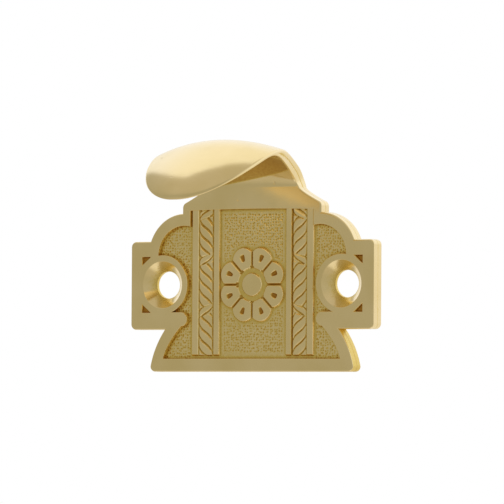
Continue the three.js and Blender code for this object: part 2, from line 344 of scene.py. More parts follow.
@dataclass
class Shell:
    """Patches of surface, each with its own normals, that weld into one closed mesh.

    Attributes:
        points: Patches' points in millimetres.
        normals: Their normals.
        skin_and_shade: How sheltered each point is, from 0 on a face that gets polished to 1 deep in a
            hollow; it sets the cast skin, and the shade painted into hollows.
        triangles: Rows of three indices into all points so far.
        count: Number of points so far.
    """

    points: list[Array] = field(default_factory=list)
    normals: list[Array] = field(default_factory=list)
    skin_and_shade: list[Array] = field(default_factory=list)
    triangles: list[Array] = field(default_factory=list)
    count: int = 0

    def patch(
        self, points: Array, normals: Array, triangles: Array, skin_and_shade: Array | float = 0.0
    ) -> None:
        """Adds triangles.

        Args:
            points: Rows of (x, y, z).
            normals: One for each point, or one for all.
            triangles: Rows of three indices into points, in any direction.
            skin_and_shade: One for each point, or one for all.
        """
        self.points.append(points)
        self.normals.append(np.broadcast_to(normals, points.shape))
        self.skin_and_shade.append(np.broadcast_to(skin_and_shade, len(points)))
        self.triangles.append(triangles + self.count)
        self.count += len(points)

    def grid(
        self, points: Array, normals: Array, skin_and_shade: Array | float = 0.0, kept: Array | None = None
    ) -> None:
        """Adds a grid of points as two triangles for each of its cells.

        Args:
            points: Rows and columns of (x, y, z).
            normals: The same, of normals.
            skin_and_shade: The same, of shelter, or one for all.
            kept: Which cells to make, if not all.
        """
        rows, columns = points.shape[:2]
        corner = np.arange(rows * columns).reshape(rows, columns)
        cell = np.stack([corner[:-1, :-1], corner[1:, :-1], corner[1:, 1:], corner[:-1, 1:]], axis=-1)
        cell = cell.reshape(-1, 4) if kept is None else cell[kept]
        skin_and_shade = np.broadcast_to(skin_and_shade, (rows, columns)).reshape(-1)
        triangles = np.concatenate([cell[:, [0, 1, 2]], cell[:, [0, 2, 3]]])
        self.patch(points.reshape(-1, 3), normals.reshape(-1, 3), triangles, skin_and_shade)

    def carry(
        self, path: Array, mitres: Array, normals: Array, profile: EdgeProfile, skin_and_shade: Array | float
    ) -> None:
        """Adds a section carried along a path.

        Args:
            path: Rows of (x, z).
            mitres: How far each of its points moves for one millimetre outwards.
            normals: Its outward normals.
            profile: The section.
            skin_and_shade: Shelter at each point of the section, or one for all.
        """
        turned = profile.normals()
        flat = path[:, None] + profile.out[None, :, None] * mitres[:, None]
        across = turned[None, :, :1] * normals[:, None]
        forward = np.broadcast_to(turned[None, :, 1], across.shape[:2])
        self.grid(in_frame(flat, profile.depth[None, :]), in_frame(across, forward), skin_and_shade)

    def sweep(self, outline: Outline, profile: EdgeProfile, skin_and_shade: Array | float = 0.0) -> None:
        """Adds a section carried along an outline, mitred at its corners.

        Args:
            outline: The path.
            profile: The section.
            skin_and_shade: Shelter at each point of the section, or a row of those for each stretch.
        """
        rows = np.broadcast_to(skin_and_shade, (len(outline.stretches), len(profile.out)))
        for stretch, mitre, normal, row in zip(
            outline.stretches, outline.mitres(), outline.normals(), rows
        ):
            self.carry(stretch, mitre, normal, profile, row)

    def flat(
        self, outer: Array, holes: list[Array], depth: float, forward: bool, skin_and_shade: float = 0.0
    ) -> None:
        """Adds a flat region with holes.

        Args:
            outer: The loop round it.
            holes: Loops to leave open.
            depth: Its distance in front of the mounting face.
            forward: Whether it faces the front.
            skin_and_shade: Its shelter.
        """
        corners, edges, start = np.vstack([outer, *holes]), [], 0
        for loop in (outer, *holes):
            index = np.arange(len(loop)) + start
            edges += np.stack([index, np.roll(index, -1)], axis=1).tolist()
            start += len(loop)
        _, _, faces, sources, *_ = delaunay_2d_cdt([Vector(c) for c in corners], edges, [], 0, CUT_MARGIN)
        points = np.array([corners[source[0]] for source in sources])
        triangles = np.array(faces)
        middle = points[triangles].mean(axis=1)
        keep = within(middle, outer)
        for hole in holes:
            keep &= ~within(middle, hole)
        normal = (0.0, -1.0 if forward else 1.0, 0.0)
        self.patch(in_frame(points, depth), np.array(normal), triangles[keep], skin_and_shade)

    def weld(self, name: str) -> bpy.types.Object:
        """Makes the mesh.

        Points at the same place become one, triangles that lose a corner by that are dropped, and the
        rest are turned so that they face the way their normals do.

        Args:
            name: The new object's name.

        Returns:
            The object, with its place in its mesh.
        """
        points, normals = np.concatenate(self.points), unit(np.concatenate(self.normals))
        triangles, skin_and_shade = np.concatenate(self.triangles), np.concatenate(self.skin_and_shade)
        a, b, c = points[triangles].transpose(1, 0, 2)
        facing = (np.cross(b - a, c - a) * normals[triangles].sum(axis=1)).sum(axis=1)
        triangles = np.where(facing[:, None] < 0, triangles[:, ::-1], triangles)
        place = np.round(points / WELD).astype(np.int64)
        _, first, same = np.unique(place, axis=0, return_index=True, return_inverse=True)
        welded = same.reshape(-1)[triangles]
        whole = (np.diff(np.sort(welded, axis=1), axis=1) > 0).all(axis=1)
        welded, triangles = welded[whole], triangles[whole]

        mesh = bpy.data.meshes.new(name)
        mesh.vertices.add(len(first))
        mesh.vertices.foreach_set("co", (points[first] * MM).astype(np.float32).ravel())
        mesh.loops.add(welded.size)
        mesh.loops.foreach_set("vertex_index", welded.astype(np.int32).ravel())
        mesh.polygons.add(len(welded))
        mesh.polygons.foreach_set("loop_start", np.arange(0, welded.size, 3, dtype=np.int32))
        mesh.update(calc_edges=True)
        mesh.shade_smooth()
        mesh.normals_split_custom_set(normals[triangles.ravel()].tolist())
        layer = mesh.attributes.new(SKIN_AND_SHADE, "FLOAT", "POINT")
        layer.data.foreach_set("value", skin_and_shade[first].astype(np.float32))
        made = bpy.data.objects.new(name, mesh)
        bpy.context.scene.collection.objects.link(made)
        return made


# ---------------------------------------------------------------- finishes


def linear(colour: str) -> Colour:
    """An sRGB hex colour as linear red, green, blue and alpha.

    Args:
        colour: The colour, such as #FFFFFF.

    Returns:
        Its four linear shares.
    """
    shares = [int(colour[i : i + 2], 16) / 255.0 for i in (1, 3, 5)]
    curve = [s / 12.92 if s <= 0.04045 else ((s + 0.055) / 1.055) ** 2.4 for s in shares]
    return (*curve, 1.0)


def add_node(
    tree: bpy.types.NodeTree, kind: str, inputs: dict | None = None, **settings: object
) -> bpy.types.Node:
    """Adds a node.

    Args:
        tree: Where to add it.
        kind: Its type, without the leading ShaderNode.
        inputs: Value or output socket for each input, by name or number.
        settings: Its own settings.

    Returns:
        The node.
    """
    node = tree.nodes.new("ShaderNode" + kind)
    for name, value in settings.items():
        setattr(node, name, value)
    for name, value in (inputs or {}).items():
        if isinstance(value, Socket):
            tree.links.new(value, node.inputs[name])
        else:
            node.inputs[name].default_value = value
    return node


def ramp(
    tree: bpy.types.NodeTree,
    value: Socket,
    low: float,
    high: float,
    to_low: float = 0.0,
    to_high: float = 1.0,
) -> Socket:
    """A value carried smoothly from one range to another.

    Args:
        tree: Where to add the node.
        value: The value.
        low: The start of its range.
        high: The end of its range.
        to_low: What the start becomes.
        to_high: What the end becomes.

    Returns:
        The new value.
    """
    inputs = {"Value": value, "From Min": low, "From Max": high, "To Min": to_low, "To Max": to_high}
    return add_node(tree, "MapRange", inputs, interpolation_type="SMOOTHSTEP").outputs["Result"]


def blank(name: str) -> tuple[bpy.types.Material, bpy.types.NodeTree]:
    """Makes a material with nothing in it.

    Args:
        name: Its name.

    Returns:
        The material and its node tree.
    """
    material = bpy.data.materials.new(name)
    material.use_nodes = True
    material.node_tree.nodes.clear()
    return material, material.node_tree


def reckon(tree: bpy.types.NodeTree, operation: str, *values: Socket | float) -> Socket:
    """One step of arithmetic on the values."""
    return add_node(tree, "Math", dict(enumerate(values)), operation=operation).outputs[0]


def mix(tree: bpy.types.NodeTree, share: Socket, first: Socket | Colour, second: Socket | Colour) -> Socket:
    """The colour a share of the way from first to second."""
    return add_node(tree, "Mix", {0: share, 6: first, 7: second}, data_type="RGBA").outputs[2]


@dataclass(frozen=True)
class CastBrass:
    """Yellow brass, sand cast, then linished and polished by hand on its high faces.

    The polished faces are a pale clean gold that mirrors the room softly.  Polish never reaches the
    sheltered metal, which keeps its cast skin, duller and more orange; the most sheltered is painted darker
    still, as shade.
    """

    polished: str = "#FAE7BA"
    warm: str = "#F3DFAC"  # where the polish is thin
    cast_skin: str = "#E9CF79"
    # painted shade: the darkest colour, painted into the deepest hollows in place of the shade that falls
    # there
    crevice_shade: str = "#C2903F"
    roughness: float = 0.12
    skin_roughness: float = 0.42
    tone_size: float = 9.0 * MM  # width of the slow drift in tone
    grain_size: float = 0.35 * MM  # the sand's grain, as it shows in the cast skin
    wave_size: float = 4.0 * MM  # hand linishing leaves the faces this wavy
    hairline_size: float = 0.22 * MM  # spacing of the polishing marks
    hairline_stretch: float = 0.12  # their scale along x, so how long they are
    pit_size: float = 5.5 * MM  # spacing of the casting pits, of which few reach the surface
    thinned: Span = (0.35, 0.7)  # tone from clean to warm
    ragged_by: float = 0.35  # how much the grain breaks up the edge of the polish
    skinned: Span = (0.3, 0.62)  # shelter from polished face to cast skin
    shaded_deep: Span = (0.62, 1.15)  # and from there to the painted shade colour
    dulled: Span = (0.3, 0.8)  # shelter over which the roughness grows
    hairline_rough: float = 0.07  # roughness that the polishing marks add
    pit_edge: Span = (0.03, 0.055)  # distance from a pit's middle to its bottom's edge and its rim

    # Bumps, as how strong and how deep.
    grain_strength: tuple[float, float, float, float] = (0.25, 0.8, 0.05, 0.55)  # shelter, then strength
    grain_depth: float = 0.03 * MM
    hairline_bump: tuple[float, float] = (0.10, 0.006 * MM)
    wave_bump: tuple[float, float] = (0.35, 0.09 * MM)
    pit_bump: tuple[float, float] = (0.6, 0.12 * MM)

    def make(self) -> bpy.types.Material:
        """Builds the material.

        Returns:
            It, on the shell's attribute of cast skin and painted shade, and on object coordinates.
        """
        material, tree = blank("cast_brass_hand_polished")
        place = add_node(tree, "TexCoord").outputs["Object"]
        shelter = add_node(tree, "Attribute", attribute_name=SKIN_AND_SHADE).outputs["Fac"]

        def noise(where: Socket, size: float, detail: float) -> Socket:
            """Noise whose blotches are about the size."""
            inputs = {"Vector": where, "Scale": 1 / size, "Detail": detail}
            return add_node(tree, "TexNoise", inputs).outputs["Fac"]

        tone = noise(place, self.tone_size, 3.0)
        grain = noise(place, self.grain_size, 4.0)
        wave = noise(place, self.wave_size, 1.0)
        long_scale = (self.hairline_stretch, 1.0, 1.0)
        stretched = add_node(tree, "Mapping", {"Vector": place, "Scale": long_scale}).outputs[0]
        hairline = noise(stretched, self.hairline_size, 2.0)
        pits = add_node(tree, "TexVoronoi", {"Vector": place, "Scale": 1 / self.pit_size}, feature="F1")

        worn = ramp(tree, tone, *self.thinned)
        face = mix(tree, worn, linear(self.polished), linear(self.warm))
        ragged = reckon(tree, "MULTIPLY_ADD", grain, self.ragged_by, shelter)
        skin = mix(tree, ramp(tree, ragged, *self.skinned), face, linear(self.cast_skin))
        # painted shade: the most sheltered metal is painted darker still, towards the shade colour
        colour = mix(tree, ramp(tree, ragged, *self.shaded_deep), skin, linear(self.crevice_shade))
        dull = ramp(tree, ragged, *self.dulled, self.roughness, self.skin_roughness)
        rough = reckon(tree, "MULTIPLY_ADD", hairline, self.hairline_rough, dull)

        pitted = ramp(tree, pits.outputs["Distance"], *self.pit_edge)
        bumps = (
            (grain, ramp(tree, ragged, *self.grain_strength), self.grain_depth),
            (hairline, *self.hairline_bump),
            (wave, *self.wave_bump),
            (pitted, *self.pit_bump),
        )
        normal = {}
        for height, strength, depth in bumps:
            inputs = {"Height": height, "Strength": strength, "Distance": depth, **normal}
            normal = {"Normal": add_node(tree, "Bump", inputs).outputs[0]}
        inputs = {"Base Color": colour, "Metallic": 1.0, "Roughness": rough, **normal}
        shader = add_node(tree, "BsdfPrincipled", inputs)
        add_node(tree, "OutputMaterial", {"Surface": shader.outputs[0]})
        return material


# ---------------------------------------------------------------- the plate and hook


@dataclass
class LiftBody:
    """The polished part of the casting: ears, border, foot, neck and hook, with the panel sunk into it."""

    thickness: float = 2.8
    hole_x: float = 18.7
    hole_radius: float = 2.4
    countersink_radius: float = 4.2
    countersink_angle: float = 41.0  # half angle in degrees
    boss_radius: float = 5.25
    edge: float = 0.36  # rounding left on the outer edges by linishing
    edge_most: float = 0.94  # share of half the thickness that the rounding may take
    parting: float = 0.05  # depth of the line that the mould's joint leaves round the hook's edges
    parted: Span = (0.05, 0.3)  # half thickness between the roundings over which it grows to that
    plate_parting: float = 0.45  # share of it left on the plate's edges, which are linished more
    ear_margin: float = 6.7
    ear_top: float = 7.7
    ear_bottom: float = -8.0
    ear_corner: float = 1.0
    foot_bottom: float = -15.45
    foot_corner: float = 0.95
    foot_tip: float = 21.25
    foot_waist: float = 18.25
    foot_lean: Point = (2.25, 2.98)  # the concave side leans this far out from the waist and down
    shoulder_centre: Point = (14.2, 5.0)
    shoulder_radius: float = 7.6
    shoulder_side: float = 14.55
    shoulder_rise: float = 1.0
    shoulder_corner: float = 1.0
    shoulder_turn: float = 64.0  # how far that corner turns, in degrees
    neck_height: float = 17.0
    neck_half_width: float = 9.85
    neck_lean: Point = (0.25, 0.61)  # the flare leans this far out from the neck's foot and down
    border: float = 2.3
    finger_reach: float = 5.2  # the border's finger under a boss reaches this far in from the hole
    finger: Span = (-7.4, -4.9)  # its lower and upper edges
    lobe_extra: float = 0.15  # how much wider the recess's lobe is than the border leaves it
    recess_top: float = 13.1
    recess_arch: float = 0.2  # how much higher the recess's top edge is in the middle
    arch_reach: float = 6.0  # x up to which that top edge is nearly level
    recess_foot: float = 18.5  # x of its bottom corners
    recess_lean: Point = (18.0, 0.5)  # x that the recess's side leans to, and how far under its middle
    recess_cut: float = 1.25  # the walls go down behind the panel's floor
    recess_wall: Span = (0.2, -0.1)  # its section starts outside its outline and slopes in
    recess_round: float = 0.14
    bar_edge: float = 12.925
    pocket_depth: float = 0.5
    pocket_top: float = 5.0
    pocket_gap: float = 0.3  # metal between a pocket and the boss
    pocket_wall: tuple[float, float, float] = (0.16, -0.22, -0.32)  # start, floor and end of its section
    pocket_round: float = 0.08
    hole_ring: float = 0.22  # width of the flat ring round a countersink
    hole_bevel: float = 0.12  # on the back
    hole_round: float = 0.1
    hole_steps: int = 96

    # Shelter, which sets cast skin and painted shade, and the spans over which it grows.
    edge_shade: float = 0.12
    foot_skin: float = 0.3  # more on the foot's edge, which is left as cast
    line_shade: float = 0.6  # and, as painted shade, in the parting line's groove
    line_width: float = 0.09
    line_thinned: Span = (0.1, 0.5)  # half thickness between the roundings over which the line fades in
    hole_shade: float = 0.22  # satin cast skin, and painted shade that grows deeper in the hole: this much just inside a countersink, and as much again further down
    hole_mouth: Span = (0.0, 0.3)
    hole_deep: Span = (0.8, 2.6)
    hole_back: Span = (0.0, 0.2)
    # painted shade on the sunk panel's walls, growing with depth, and in the pockets
    wall_shade: float = 0.1
    wall_deep_shade: float = 0.4
    wall_deep: Span = (0.35, 0.75)
    pocket_deep: Span = (0.05, 0.35)
    painted_bend_shade: float = 0.74  # painted shade on the hook's underside, up in the bend, for the dark reflection of the tab's underside
    bend_shade_slant: float = 0.152  # the painted shade's lower edge rises to the right by this
    bend_shade_edge: Span = (18.2, 18.55)  # heights
    bend_shade_reach: Span = (13.0, 9.0)  # distances forwards

    # The hook's side view: arcs of (radius, turn in degrees) from the neck to the tip.
    arcs: tuple[tuple[float, float], ...] = ((2.7, 58.0), (21.0, 23.5), (10.0, 37.0), (75.0, 10.0))
    waist: float = 9.45
    waist_distance: float = 1.5
    tab_half_width: float = 11.8
    tab_widest: float = 0.5
    tab_roundness: float = 1.8
    crown: float = 1.6
    crowned_by: float = 0.32
    tab_thickness: float = 2.0
    rim: float = 0.6
    rim_thinning: tuple[float, float] = (0.29, 0.52)
    columns: int = 45
    rows: int = 70  # up to the widest place, and as many beyond it

    def __post_init__(self) -> None:
        """Works out the hook's centre line: its heading loses the arcs' curvature, and its place follows.

        The curvature is averaged over a short window, so that one arc runs softly into the next.
        """
        lengths = [radius * math.radians(turn) for radius, turn in self.arcs]
        self.length = sum(lengths)
        steps, window = 900, 45
        self.spine_s = np.linspace(0.0, self.length, steps + 1)
        which = np.searchsorted(np.cumsum(lengths[:-1]), self.spine_s, side="right")
        bend = 1.0 / np.array([radius for radius, _ in self.arcs])[which]
        padded = np.pad(bend, window, mode="edge")
        bend = np.convolve(padded, np.ones(2 * window + 1) / (2 * window + 1), mode="valid")
        step = self.length / steps
        heading = math.pi / 2 - np.concatenate([[0.0], np.cumsum((bend[1:] + bend[:-1]) / 2) * step])
        middle = (heading[1:] + heading[:-1]) / 2
        self.spine_heading = heading
        self.spine_forward = self.thickness / 2 + np.concatenate([[0.0], np.cumsum(np.cos(middle)) * step])
        self.spine_height = self.neck_height + np.concatenate([[0.0], np.cumsum(np.sin(middle)) * step])

    # ---- the plate

    def outline(self) -> Outline:
        """The plate's edge, from the left of the neck down round the foot and up to the right of it.

        Returns:
            The outline, open across the neck.
        """
        toe, toe_height = self.foot_tip - self.foot_corner, self.foot_bottom + self.foot_corner
        lean_x, lean_z = self.foot_lean
        foot = run(
            straight((0.0, self.foot_bottom), (toe, self.foot_bottom)),
            arc((toe, toe_height), self.foot_corner, -90.0, 0.0),
            bow(
                (self.foot_tip, toe_height),
                (self.foot_waist + lean_x, self.ear_bottom - lean_z),
                (self.foot_waist, self.ear_bottom),
            ),
        )
        ear_x = self.hole_x + self.ear_margin - self.ear_corner
        x, z = self.shoulder_centre
        start = math.degrees(math.asin((self.ear_top - z) / self.shoulder_radius))
        stop = math.degrees(math.acos((self.shoulder_side - x) / self.shoulder_radius))
        ear = run(
            straight((self.foot_waist, self.ear_bottom), (ear_x, self.ear_bottom)),
            arc((ear_x, self.ear_bottom + self.ear_corner), self.ear_corner, -90.0, 0.0),
            arc((ear_x, self.ear_top - self.ear_corner), self.ear_corner, 0.0, 90.0),
            straight(
                (ear_x, self.ear_top),
                (x + self.shoulder_radius * math.cos(math.radians(start)), self.ear_top),
            ),
        )
        shoulder = arc(self.shoulder_centre, self.shoulder_radius, start, stop)
        corner_centre = (self.shoulder_side - self.shoulder_corner, shoulder[-1, 1] + self.shoulder_rise)
        corner = arc(corner_centre, self.shoulder_corner, 0.0, self.shoulder_turn)
        lean_x, lean_z = self.neck_lean
        flare = run(
            np.vstack([shoulder[-1:], corner[:1]]),
            corner,
            bow(
                tuple(corner[-1]),
                (self.neck_half_width + lean_x, self.neck_height - lean_z),
                (self.neck_half_width, self.neck_height),
            ),
        )
        right = [ear, shoulder, flare]
        return Outline([*mirrored(*right), run(*mirrored(foot), foot), *right], closed=False)

    def recess(self) -> Outline:
        """The sunk panel's edge.

        Returns:
            The outline, from the left of its bottom edge.
        """
        bottom = self.foot_bottom + self.border
        low, high = self.finger
        radius = (high - low) / 2
        finger_x = self.hole_x - self.finger_reach + radius
        lobe_radius = self.shoulder_radius - self.border + self.lobe_extra
        x, z = self.shoulder_centre
        reach = math.hypot(self.hole_x - x, z)
        along = (reach**2 + lobe_radius**2 - self.boss_radius**2) / (2 * reach)
        start = math.degrees(math.atan2(-z, self.hole_x - x) + math.acos(along / lobe_radius))
        stop = math.degrees(math.acos((self.bar_edge - x) / lobe_radius))
        lobe = arc(self.shoulder_centre, lobe_radius, start, stop)
        boss_end = math.degrees(math.atan2(lobe[0, 1], lobe[0, 0] - self.hole_x))
        boss_start = 180.0 - math.degrees(math.asin(high / self.boss_radius))
        boss = arc((self.hole_x, 0.0), self.boss_radius, boss_start, boss_end)
        finger = run(
            arc((finger_x, low + radius), radius, -90.0, -270.0),
            straight((finger_x, high), tuple(boss[0])),
        )
        lean_x, lean_z = self.recess_lean
        side = bow((self.recess_foot, bottom), (lean_x, (bottom + low) / 2 - lean_z), (finger_x, low))
        corner, arch = (self.bar_edge, self.recess_top), self.recess_top + self.recess_arch
        top = bow(corner, (self.arch_reach, arch), (0.0, arch))
        right = [side, finger, boss, lobe, straight(tuple(lobe[-1]), corner)]
        base = straight((-self.recess_foot, bottom), (self.recess_foot, bottom))
        return Outline([base, *right, run(top, *mirrored(top)), *mirrored(*right)])

    def pockets(self) -> list[Outline]:
        """The three-cornered pockets in the ears' outer corners.

        Returns:
            Their outlines, each with its long side beside the boss.
        """
        reach = self.boss_radius + self.pocket_gap
        x, z = self.hole_x + self.ear_margin - self.border, self.pocket_top
        low = math.sqrt(reach**2 - (x - self.hole_x) ** 2)
        side = self.hole_x + math.sqrt(reach**2 - z**2)
        upper = [straight((x, z), (side, z)), straight((side, z), (x, low)), straight((x, low), (x, z))]
        lower = [stretch[::-1] * (1.0, -1.0) for stretch in reversed(upper)]
        return [Outline(shape) for right in (upper, lower) for shape in (right, mirrored(*right))]

    def screw_section(self) -> EdgeProfile:
        """A screw hole's section.

        Returns:
            Its rim, countersink, bore and back rim, at distances outwards from its middle.
        """
        slope = math.tan(math.radians(self.countersink_angle))
        seat = self.thickness - (self.countersink_radius - self.hole_radius) / slope
        corners = [
            (self.countersink_radius + self.hole_ring, self.thickness),
            (self.countersink_radius, self.thickness),
            (self.hole_radius, seat),
            (self.hole_radius, self.hole_bevel),
            (self.hole_radius + self.hole_bevel, 0.0),
        ]
        return softened(corners, self.hole_round, 4)

    def screw_hole(self, shell: Shell, x: float) -> tuple[Array, Array]:
        """Adds a screw hole.

        Args:
            shell: Where to add it.
            x: Its middle.

        Returns:
            The loops where it meets the front face and the back.
        """
        section = self.screw_section()
        angle = np.linspace(0.0, 2 * math.pi, self.hole_steps + 1)
        around = np.stack([np.cos(angle), np.sin(angle)], axis=1)
        middle = np.array((x, 0.0))
        sunk = self.thickness - section.depth
        # painted shade: the cone and bore are painted darker the further down they go, over a satin cast
        # skin
        grown = smooth_step(sunk, *self.hole_mouth) + smooth_step(sunk, *self.hole_deep)
        shelter = self.hole_shade * grown * smooth_step(section.depth, *self.hole_back)
        shell.carry(np.broadcast_to(middle, around.shape), around, around, section, shelter)
        front, back = (middle + section.out[end] * around[:-1] for end in (0, -1))
        return front, back

    def rim_section(self, edge: Array, half: Array, grooved: float = 1.0) -> tuple[Array, Array]:
        """The section of the outer edge, from front to back.

        Two quarter circles of radius edge, joined by a straight side that carries the parting line.

        Args:
            edge: Rounding, as a column of one value for each section.
            half: Half the thickness, as a column.
            grooved: Share of the parting line's depth that is left.

        Returns:
            Distances in from the outline, and distances from the middle towards the front.
        """
        turn = np.linspace(math.pi / 2, 0.0, 9)
        side = half - edge
        place = np.array([0.9, 0.13, 0.07, 0.0, -0.07, -0.13, -0.9])  # shares of the straight side's half
        sunk = np.array([0.0, 0.0, 0.75, 1.0, 0.75, 0.0, 0.0])  # how far into the groove each place is
        groove = sunk * grooved * self.parting * smooth_step(side, *self.parted)
        drawn_in, lifted = edge * (1 - np.cos(turn)), side + edge * np.sin(turn)
        inset = np.concatenate([drawn_in, groove, drawn_in[..., ::-1]], axis=-1)
        lift = np.concatenate([lifted, side * place, -lifted[..., ::-1]], axis=-1)
        return inset, lift

    def line_shelter(self, lift: Array, grooved: float = 1.0) -> Array:
        """Shelter along an edge's section: a little cast skin on the side, and a narrow bell of painted
        shade over the parting line's groove.
        """
        return self.edge_shade + self.line_shade * grooved * np.exp(-((lift / self.line_width) ** 2))

    def sink(self, shell: Shell, outline: Outline, wall: EdgeProfile, shelter: Array) -> Array:
        """Adds a sunk shape: its wall, and its floor, which is painted at full shade.

        Args:
            shell: Where to add it.
            outline: Its edge.
            wall: Its wall's section, from the front face down to the floor.
            shelter: The wall's shelter.

        Returns:
            The loop where it meets the front face.
        """
        shell.sweep(outline, wall, shelter)
        shell.flat(outline.moved(wall.out[-1]), [], wall.depth[-1], True, 1.0)
        return outline.moved(wall.out[0])

    def plate(self, shell: Shell) -> None:
        """Adds the plate: its edge, its faces, the sunk panel's walls, the pockets and the screw holes.

        Args:
            shell: Where to add it.
        """
        outline, half = self.outline(), self.thickness / 2
        inset, lift = self.rim_section(np.array([self.edge]), np.array([half]), self.plate_parting)
        side = np.abs(lift) < half - self.edge / 2
        shelter = np.tile(self.line_shelter(lift, self.plate_parting) * side, (len(outline.stretches), 1))
        shelter[len(shelter) // 2] += self.foot_skin * side
        shell.sweep(outline, EdgeProfile(-inset, half + lift), shelter)

        rims = [self.screw_hole(shell, x) for x in (-self.hole_x, self.hole_x)]
        front_holes, back_holes = [front for front, _ in rims], [back for _, back in rims]

        start, stop = self.recess_wall
        sunk = self.thickness - self.recess_cut
        wall = softened([(start, self.thickness), (0.0, self.thickness), (stop, sunk)], self.recess_round)
        # painted shade: the wall is painted darker the deeper it goes
        grown = smooth_step(self.thickness - wall.depth, *self.wall_deep)
        shelter = self.wall_shade + self.wall_deep_shade * grown
        front_holes.append(self.sink(shell, self.recess(), wall, shelter))

        start, foot, stop = self.pocket_wall
        sunk = self.thickness - self.pocket_depth
        corners = [(start, self.thickness), (0.0, self.thickness), (foot, sunk), (stop, sunk)]
        wall = softened(corners, self.pocket_round, 4)
        # painted shade: the pocket is painted darker with depth
        shelter = smooth_step(self.thickness - wall.depth, *self.pocket_deep)
        front_holes += [self.sink(shell, pocket, wall, shelter) for pocket in self.pockets()]

        across = self.neck_half_width - self.edge
        top = np.stack([self.across() * across, np.full(self.columns, self.neck_height)], axis=1)
        loop = np.vstack([outline.moved(-self.edge), top[-2:0:-1]])
        shell.flat(loop, front_holes, self.thickness, True)
        shell.flat(loop, back_holes, 0.0, False)

    # ---- the hook

    def across(self) -> Array:
        """The hook's columns from -1 at the left edge to 1 at the right, closer together at the edges."""
        return np.sin(np.linspace(-math.pi / 2, math.pi / 2, self.columns))

    def half_width(self, distance: Array) -> Array:
        """The hook's half width: in to the neck's waist, out to the tab, then round to the tip.

        Args:
            distance: Distance along the hook.

        Returns:
            The half width there.
        """
        widest = self.tab_widest * self.length
        places = (0.0, self.waist_distance, widest)
        widths = (self.neck_half_width, self.waist, self.tab_half_width)
        neck = through(tuple(zip(places, widths)), distance)
        share = smooth_step(distance, self.waist_distance, widest)
        grown = self.waist + (self.tab_half_width - self.waist) * share
        share = np.clip((distance - widest) / (self.length - widest), 0.0, 1.0)
        tab = self.tab_half_width * np.sqrt(1.0 - share**self.tab_roundness)
        return np.where(distance < self.waist_distance, neck, np.where(distance < widest, grown, tab))

    def boundary(self) -> Array:
        """The hook's edge laid flat.

        Returns:
            Rows of (half width, distance along the hook), closer together at the tip.
        """
        widest = self.tab_widest * self.length
        first = np.linspace(0.0, widest, self.rows, endpoint=False)
        turn = np.linspace(0.0, math.pi / 2, self.rows)
        last = widest + (self.length - widest) * np.sin(turn) ** (2.0 / self.tab_roundness)
        width = np.concatenate([self.half_width(first), self.tab_half_width * np.cos(turn)])
        return np.stack([width, np.concatenate([first, last])], axis=1)

    def on_hook(self, x: Array, distance: Array, share: Array) -> Array:
        """Points on or in the hook.

        The centre line at that distance, moved square to it by the crown, a parabola across the width,
        and by a share of half the thickness.

        Args:
            x: Distance to the right.
            distance: Distance along the hook.
            share: -1 on the underside to 1 on top, for x inside the edge's rounding.

        Returns:
            The points.
        """
        lift = self.crown_at(x, distance) + share * self.half_thickness(x, distance)
        heading = np.interp(distance, self.spine_s, self.spine_heading)
        forward = np.interp(distance, self.spine_s, self.spine_forward) - lift * np.sin(heading)
        height = np.interp(distance, self.spine_s, self.spine_height) + lift * np.cos(heading)
        return np.stack([np.broadcast_to(x, forward.shape), -forward, height], axis=-1)

    def fullness(self, x: Array, distance: Array) -> Array:
        """1 on the middle line, falling as a parabola to 0 at the edge."""
        width = np.maximum(self.half_width(distance), 1e-6)
        return 1.0 - np.clip(np.abs(x) / width, 0.0, 1.0) ** 2

    def tipward(self, distance: Array) -> Array:
        """1 up to the tab's widest place, then falling with its width to 0 at the tip."""
        narrowed = self.half_width(distance) / self.tab_half_width
        return np.where(distance > self.tab_widest * self.length, narrowed, 1.0)

    def crown_at(self, x: Array, distance: Array) -> Array:
        """How far the crown lifts the hook's middle surface."""
        grown = smooth_step(distance / self.length, 0.0, self.crowned_by)
        return self.crown * grown * self.tipward(distance) * self.fullness(x, distance)

    def half_thickness(self, x: Array, distance: Array) -> Array:
        """Half the hook's thickness, thinner at the edges of the tab.

        Args:
            x: Distance to the right.
            distance: Distance along the hook.

        Returns:
            Half the thickness there.
        """
        share = distance / self.length
        thinned = smooth_step(share, 0.0, self.tab_widest)
        full = self.thickness + (self.tab_thickness - self.thickness) * thinned
        rim = full + (self.rim - full) * smooth_step(share, *self.rim_thinning)
        belly = rim + (full - rim) * self.tipward(distance)
        return (rim + (belly - rim) * self.fullness(x, distance)) / 2

    def hook(self, shell: Shell) -> None:
        """Adds the hook as rings of points.

        Each ring goes along the underside, round the right edge, back along the top and round the left
        edge.  The edge's points are moved in from the tab's outline, laid flat, square to it.

        Args:
            shell: Where to add it.
        """
        edge_line = self.boundary()
        square = outward(edge_line)
        square[0], square[-1] = (1.0, 0.0), (0.0, 1.0)
        width, distance = edge_line.T
        half_rim = self.half_thickness(width, distance)
        rounding = np.minimum(self.edge, half_rim * self.edge_most)

        inset, lift = self.rim_section(rounding[:, None], half_rim[:, None])
        side_x = width[:, None] - inset * square[:, :1]
        side_s = np.clip(distance[:, None] - inset * square[:, 1:], 0.0, None)
        share = np.clip(-lift / half_rim[:, None], -1.0, 1.0)
        right = self.on_hook(side_x, side_s, share)
        left = right * (-1.0, 1.0, 1.0)

        inner = side_x[:, :1] * self.across()
        inner_s = np.broadcast_to(side_s[:, :1], inner.shape)
        under = self.on_hook(inner, inner_s, np.full(inner.shape, -1.0))
        over = self.on_hook(inner[:, ::-1], inner_s, np.full(inner.shape, 1.0))
        ring = np.concatenate([under, right[:, 1:-1], over, left[:, -2:0:-1], under[:, :1]], axis=1)
        shelter = self.hook_painted_shade(ring)
        line = self.line_shelter(lift[:, 1:-1])
        line = line * smooth_step(half_rim - rounding, *self.line_thinned)[:, None]
        start = self.columns
        shelter[:, start : start + line.shape[1]] = line
        start += line.shape[1] + self.columns
        shelter[:, start : start + line.shape[1]] = line[:, ::-1]
        shell.grid(ring, self.ring_normals(ring), shelter)

